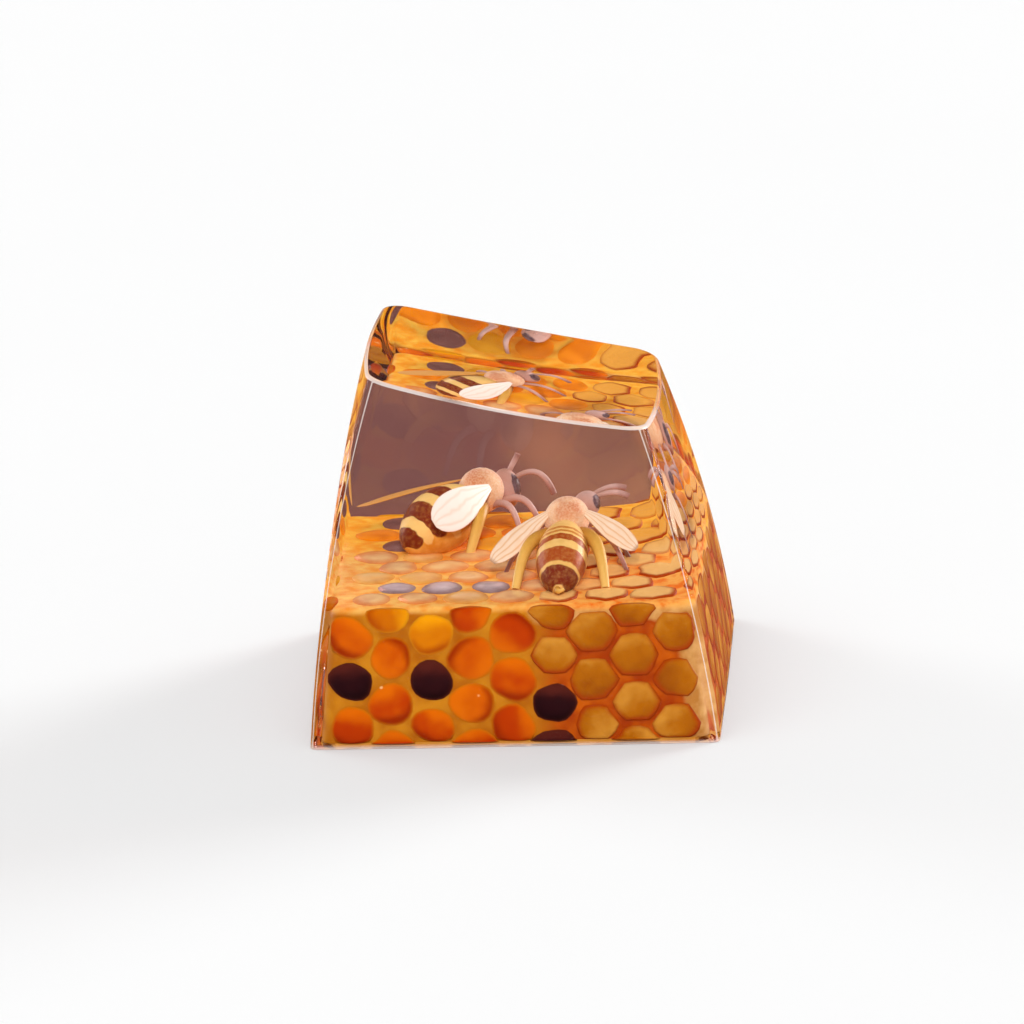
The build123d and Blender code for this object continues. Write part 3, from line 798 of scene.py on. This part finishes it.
STANDING_ACROSS, STANDING_BACK, STANDING_HEIGHT, STANDING_TURN = -0.2, -0.28, 2.2, -2.5
STANDING_LENGTH, STANDING_DROOP, STING_STEPS = 4.4, np.radians(22), 10
standing = place_bee(STANDING_ACROSS, STANDING_BACK, STANDING_HEIGHT, STANDING_TURN)
tail = np.array((-0.7 - STANDING_LENGTH * np.cos(STANDING_DROOP), 0,
                 -0.3 - STANDING_LENGTH * np.sin(STANDING_DROOP)))
standing_paint = banded_paint("standing_bands", (srgb(228, 178, 96), CREAM), (
    (TAN, 0.31, 0.02, -0.5), (TAN, 0.38, 0.02, -0.5), (BROWN, 0.475, 0.045, -0.4),
    (BROWN, 0.70, 0.085, -0.3), (DARK, 0.9, 0.085, -0.3)), 0)
abdomen = standing("standing_bee_abdomen", egg((-0.4, 0, -0.15), tail, 1.15, UPRIGHT, 0.5, 0.55),
                   standing_paint)
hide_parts("standing_bee")
standing("standing_bee_thorax", egg((-1.05, 0, 0), (1.05, 0, 0), 1.0, UPRIGHT), fuzz)
feelers = bee_feelers([[(1.4, -1.0, 0.5), (1.7, -1.9, 0.85), (1.7, -2.5, 0.4)],
                       [(1.4, -0.8, 0.5), (2.1, -1.6, 1.0), (2.3, -2.3, 0.6)]])
head = bee_head((0.55, -0.45, 0.3), (1.7, -1.05, 0.3), 0.6, UPRIGHT, 0.6, 0.3)
legs = bee_limbs([(0.6, (1.3, 1.4, -0.5), (1.2, 2.6), 0.14), (0.0, (-0.2, 1.8, -0.6), (-0.9, 2.7), 0.14)],
                 STANDING_HEIGHT)
standing("standing_bee_head_and_legs", joined([head, *feelers, *legs]), mauve)
hind_legs = bee_limbs([(-0.5, (-2.0, 1.6, -0.4), (-3.6, 2.0), 0.3)], STANDING_HEIGHT)
curl = bend([tail + (0.15, 0, 0.1), tail + (-0.35, 0.1, -0.1), tail + (-0.3, -0.3, 0.15)], STING_STEPS)
taper = np.linspace(0.16, 0.07, STING_STEPS)
sting = along_line(curl, taper, taper, UPRIGHT, LIMB_SIDES)
standing("standing_bee_hind_legs_and_sting", joined([*hind_legs, sting]), amber)
peach_pearl = wing_pearl("peach_pearl_wing", srgb(244, 202, 162), srgb(234, 184, 140), srgb(150, 90, 50))
wings = standing("standing_bee_pearl_wings", joined([
    wing_skin((-0.2, 0.6, 0.5), (-2.3, 3.15, -1.3), (-0.55, 0, 0.83), 0.85),
    wing_skin((-0.2, -0.6, 0.5), (-1.3, -3.2, -1.1), (-0.55, 0, 0.83), 0.75)]), peach_pearl)
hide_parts("standing_bee_wings")


# Studio: a plain white table, a lamp behind the camera, a broad one overhead, two soft fills from behind
# and beside the key, and a little even light from all round. The camera looks at the key's left side with
# a long lens, from a little above.

TABLE_HALF, TABLE_DROP, TABLE_POINTS, AMBIENT = 2000.0, 0.02, 9, 0.18
TABLE_GREY, TABLE_WHITE = (0.94, 0.94, 0.94, 1), (0.96, 0.96, 0.96, 1)


def white_table():
    """Dull white, with a slow change between two whites."""
    material, f = new_material("white_table")
    f.end(f.surface(Base_Color=f.noise(40.0, 2.0).blend(TABLE_GREY, TABLE_WHITE), Roughness=0.8,
                    Specular_IOR_Level=0.1))
    return material


reach = np.linspace(-TABLE_HALF, TABLE_HALF, TABLE_POINTS)
x, y = np.meshgrid(reach, reach)
table_points = np.stack([x, y, np.full_like(x, -TABLE_DROP)], axis=-1).reshape(-1, 3)
at = np.arange(TABLE_POINTS**2).reshape(TABLE_POINTS, TABLE_POINTS)
table_faces = np.stack([at[:-1, :-1], at[:-1, 1:], at[1:, 1:], at[1:, :-1]], axis=-1).reshape(-1, 4)
table = make_piece("table", (table_points, [table_faces]), white_table())
table.parent = None

world = bpy.data.worlds.new("studio")
world.use_nodes = True
world.node_tree.nodes.clear()
bpy.context.scene.world = world
f = Field(world.node_tree)
seen = f.ray("Camera").most(f.ray("Glossy")).most(f.ray("Transmission"))
sky = f.add("Background", {}, {"Color": (1, 1, 1, 1), "Strength": seen * (1 - AMBIENT) + AMBIENT})
f.add("OutputWorld", {}, {"Surface": sky})

AIM, DISTANCE = np.array((0, 0, 7.0)), 458.7
RISE, SWING, ROLL = np.radians((17.06, 3.86, 2.28))
towards = np.array((-np.cos(SWING) * np.cos(RISE), -np.sin(SWING) * np.cos(RISE), np.sin(RISE)))
level = np.array((np.sin(SWING), -np.cos(SWING), 0))
upright = np.cross(towards, level)
right = np.cos(ROLL) * level - np.sin(ROLL) * upright
up = np.sin(ROLL) * level + np.cos(ROLL) * upright
lens = bpy.data.cameras.new("camera")
lens.lens, lens.sensor_width = 356.4, 36.0
lens.shift_x, lens.shift_y = -0.0080, 0.0229
lens.clip_start, lens.clip_end = 0.01, 10.0
camera = bpy.data.objects.new("camera", lens)
turned = Matrix(np.column_stack([right, up, towards]).tolist()).to_4x4()
camera.matrix_world = Matrix.Translation((AIM + DISTANCE * towards) * MM) @ turned
bpy.context.scene.collection.objects.link(camera)
bpy.context.scene.camera = camera

LAMPS = (("key_lamp", 184.0, 32.0, 1.9, 9.0, False), ("top_lamp", 150.0, 76.0, 1.0, 60.0, False),
         ("left_fill", 55.0, 9.0, 1.3, 30.0, True), ("right_fill", -50.0, 9.0, 3.0, 30.0, True))
for name, bearing, height, power, spread, mirrored in LAMPS:
    sun = bpy.data.lights.new(name, "SUN")
    sun.energy, sun.angle = power, np.radians(spread)
    lamp = bpy.data.objects.new(name, sun)
    bearing, height = np.radians(bearing), np.radians(height)
    source = Vector((np.cos(bearing) * np.cos(height), np.sin(bearing) * np.cos(height), np.sin(height)))
    lamp.rotation_mode = "QUATERNION"
    lamp.rotation_quaternion = source.to_track_quat("Z", "Y")
    lamp.visible_glossy = mirrored
    bpy.context.scene.collection.objects.link(lamp)

bpy.context.scene.view_settings.view_transform = "Standard"
